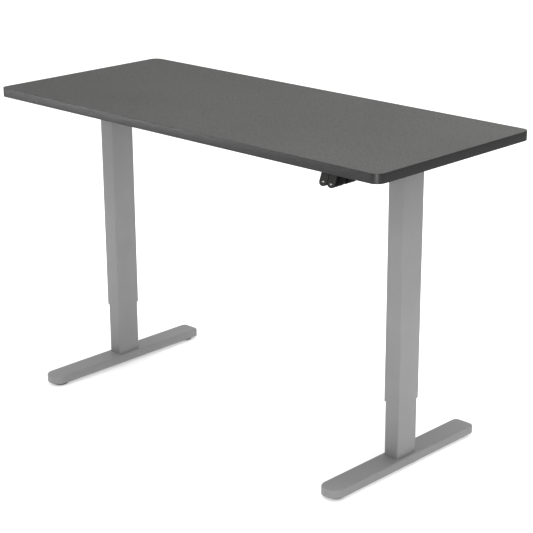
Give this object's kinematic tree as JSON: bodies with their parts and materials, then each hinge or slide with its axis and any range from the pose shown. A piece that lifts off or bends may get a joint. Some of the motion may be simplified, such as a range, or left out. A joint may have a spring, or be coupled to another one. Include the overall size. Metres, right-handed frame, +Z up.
{
  "type": "height adjustable standing desk",
  "caption": "Rectangular desktop on two electric telescopic columns with slim flat feet, a drive shaft in the crossbeam and a two-key handset under the front edge.",
  "frame": {"origin": "on the floor, under the middle of the desktop", "axes": "+X to the user's right along the top, -Y towards the user, +Z up"},
  "size_m": [1.4, 0.6, 0.873],
  "materials": {
    "laminate": "fine-textured dark grey melamine laminate on particle board",
    "edge_band": "dark grey edge band, satin",
    "grey_powder_coat": "light silver-grey powder coat, fine texture",
    "bare_steel": "zinc-plated plate",
    "slider_plastic": "black acetal",
    "nut_plastic": "natural acetal",
    "bright_steel": "turned steel",
    "gear_steel": "sintered steel with a film of grease",
    "cast_aluminium": "die-cast, as cast",
    "zinc_screws": "black zinc",
    "pad_rubber": "soft rubber washer",
    "black_can": "black lacquered steel can",
    "black_plastic": "spark-textured moulding",
    "circuit_board": "green solder mask",
    "inlet_plastic": "moulded inlet",
    "handset_plastic": "fine-textured black moulding",
    "key_plastic": "dark grey keycap with a white arrow",
    "lead_jacket": "satin black jacket",
    "glide_plastic": "black nylon"
  },
  "bodies": {
    "base": {"left_foot_shell": "grey_powder_coat", "left_inner_tube": "grey_powder_coat", "left_foot_sole": "bare_steel", "left_leg_end_plate": "bare_steel", "left_upper_slider": "slider_plastic", "left_drive_nut": "nut_plastic", "right_foot_shell": "grey_powder_coat", "right_inner_tube": "grey_powder_coat", "right_foot_sole": "bare_steel", "right_leg_end_plate": "bare_steel", "right_upper_slider": "slider_plastic", "right_drive_nut": "nut_plastic", "foot_bolts": "zinc_screws"},
    "top_frame": {"desktop_board": "laminate", "desktop_edge_band": "edge_band", "left_outer_tube": "grey_powder_coat", "left_head_bracket": "grey_powder_coat", "left_side_bracket": "grey_powder_coat", "left_crossbeam": "grey_powder_coat", "left_lower_slider": "slider_plastic", "left_gearbox_housing": "cast_aluminium", "right_outer_tube": "grey_powder_coat", "right_head_bracket": "grey_powder_coat", "right_side_bracket": "grey_powder_coat", "right_crossbeam": "grey_powder_coat", "right_lower_slider": "slider_plastic", "right_gearbox_housing": "cast_aluminium", "centre_crossbeam": "grey_powder_coat", "frame_bolts": "zinc_screws", "desktop_screws": "zinc_screws", "bracket_pads": "pad_rubber", "screw_bearings": "bright_steel", "motor_can": "black_can", "motor_gear_case": "black_plastic", "control_box_tray": "black_plastic", "control_box_lid": "black_plastic", "cable_clips": "black_plastic", "control_board": "circuit_board", "handset_board": "circuit_board", "mains_inlet": "inlet_plastic", "handset_housing": "handset_plastic", "motor_lead": "lead_jacket", "handset_lead": "lead_jacket"},
    "left_screw": {"left_lead_screw": "bright_steel", "left_screw_gear": "gear_steel"},
    "right_screw": {"right_lead_screw": "bright_steel", "right_screw_gear": "gear_steel"},
    "shaft": {"drive_shaft": "bright_steel", "shaft_gears": "gear_steel"},
    "motor_rotor": {"motor_output_shaft": "gear_steel"},
    "up_key": {"up_button": "key_plastic"},
    "down_key": {"down_button": "key_plastic"},
    "front_left_glide": {"front_left_glide_pad": "glide_plastic"},
    "front_left_stud": {"front_left_glide_stud": "bright_steel"},
    "rear_left_glide": {"rear_left_glide_pad": "glide_plastic"},
    "rear_left_stud": {"rear_left_glide_stud": "bright_steel"},
    "front_right_glide": {"front_right_glide_pad": "glide_plastic"},
    "front_right_stud": {"front_right_glide_stud": "bright_steel"},
    "rear_right_glide": {"rear_right_glide_pad": "glide_plastic"},
    "rear_right_stud": {"rear_right_glide_stud": "bright_steel"}
  },
  "joints": [
    {"name": "height", "type": "slide", "parent": "base", "child": "top_frame", "axis": [0, 0, 1], "range_m": [-0.145, 0.335]},
    {"name": "left_screw_spin", "type": "hinge", "parent": "top_frame", "child": "left_screw", "pos_m": [-0.545, -0.004, 0.6], "axis": [0, 0, 1], "range_deg": [-10460, 24140]},
    {"name": "right_screw_spin", "type": "hinge", "parent": "top_frame", "child": "right_screw", "pos_m": [0.545, -0.004, 0.6], "axis": [0, 0, 1], "range_deg": [-10460, 24140]},
    {"name": "shaft_spin", "type": "hinge", "parent": "top_frame", "child": "shaft", "pos_m": [0, -0.004, 0.819], "axis": [1, 0, 0], "range_deg": [-10460, 24140]},
    {"name": "motor_spin", "type": "hinge", "parent": "top_frame", "child": "motor_rotor", "pos_m": [-0.425, 0.02, 0.819], "axis": [0, 1, 0], "range_deg": [-24140, 10460]},
    {"name": "up_key_press", "type": "slide", "parent": "top_frame", "child": "up_key", "axis": [0, 1, 0], "range_m": [0, 0.0012], "stiffness_N_per_m": 1500, "springref_m": -0.0005},
    {"name": "down_key_press", "type": "slide", "parent": "top_frame", "child": "down_key", "axis": [0, 1, 0], "range_m": [0, 0.0012], "stiffness_N_per_m": 1500, "springref_m": -0.0005},
    {"name": "front_left_level", "type": "slide", "parent": "base", "child": "front_left_glide", "axis": [0, 0, -1], "range_m": [0, 0.01]},
    {"name": "front_left_stud_turn", "type": "hinge", "parent": "front_left_glide", "child": "front_left_stud", "pos_m": [-0.545, -0.258, 0.015], "axis": [0, 0, 1], "range_deg": [-2900, 20]},
    {"name": "rear_left_level", "type": "slide", "parent": "base", "child": "rear_left_glide", "axis": [0, 0, -1], "range_m": [0, 0.01]},
    {"name": "rear_left_stud_turn", "type": "hinge", "parent": "rear_left_glide", "child": "rear_left_stud", "pos_m": [-0.545, 0.246, 0.015], "axis": [0, 0, 1], "range_deg": [-2900, 20]},
    {"name": "front_right_level", "type": "slide", "parent": "base", "child": "front_right_glide", "axis": [0, 0, -1], "range_m": [0, 0.01]},
    {"name": "front_right_stud_turn", "type": "hinge", "parent": "front_right_glide", "child": "front_right_stud", "pos_m": [0.545, -0.258, 0.015], "axis": [0, 0, 1], "range_deg": [-2900, 20]},
    {"name": "rear_right_level", "type": "slide", "parent": "base", "child": "rear_right_glide", "axis": [0, 0, -1], "range_m": [0, 0.01]},
    {"name": "rear_right_stud_turn", "type": "hinge", "parent": "rear_right_glide", "child": "rear_right_stud", "pos_m": [0.545, 0.246, 0.015], "axis": [0, 0, 1], "range_deg": [-2900, 20]}
  ],
  "couplings": [
    {"joint": "left_screw_spin", "follows": "height", "rad_per_m": 1256.6},
    {"joint": "right_screw_spin", "follows": "height", "rad_per_m": 1256.6},
    {"joint": "shaft_spin", "follows": "height", "rad_per_m": 1256.6},
    {"joint": "motor_spin", "follows": "height", "rad_per_m": -1256.6},
    {"joint": "front_left_stud_turn", "follows": "front_left_level", "rad_per_m": -5026.5},
    {"joint": "rear_left_stud_turn", "follows": "rear_left_level", "rad_per_m": -5026.5},
    {"joint": "front_right_stud_turn", "follows": "front_right_level", "rad_per_m": -5026.5},
    {"joint": "rear_right_stud_turn", "follows": "rear_right_level", "rad_per_m": -5026.5}
  ]
}
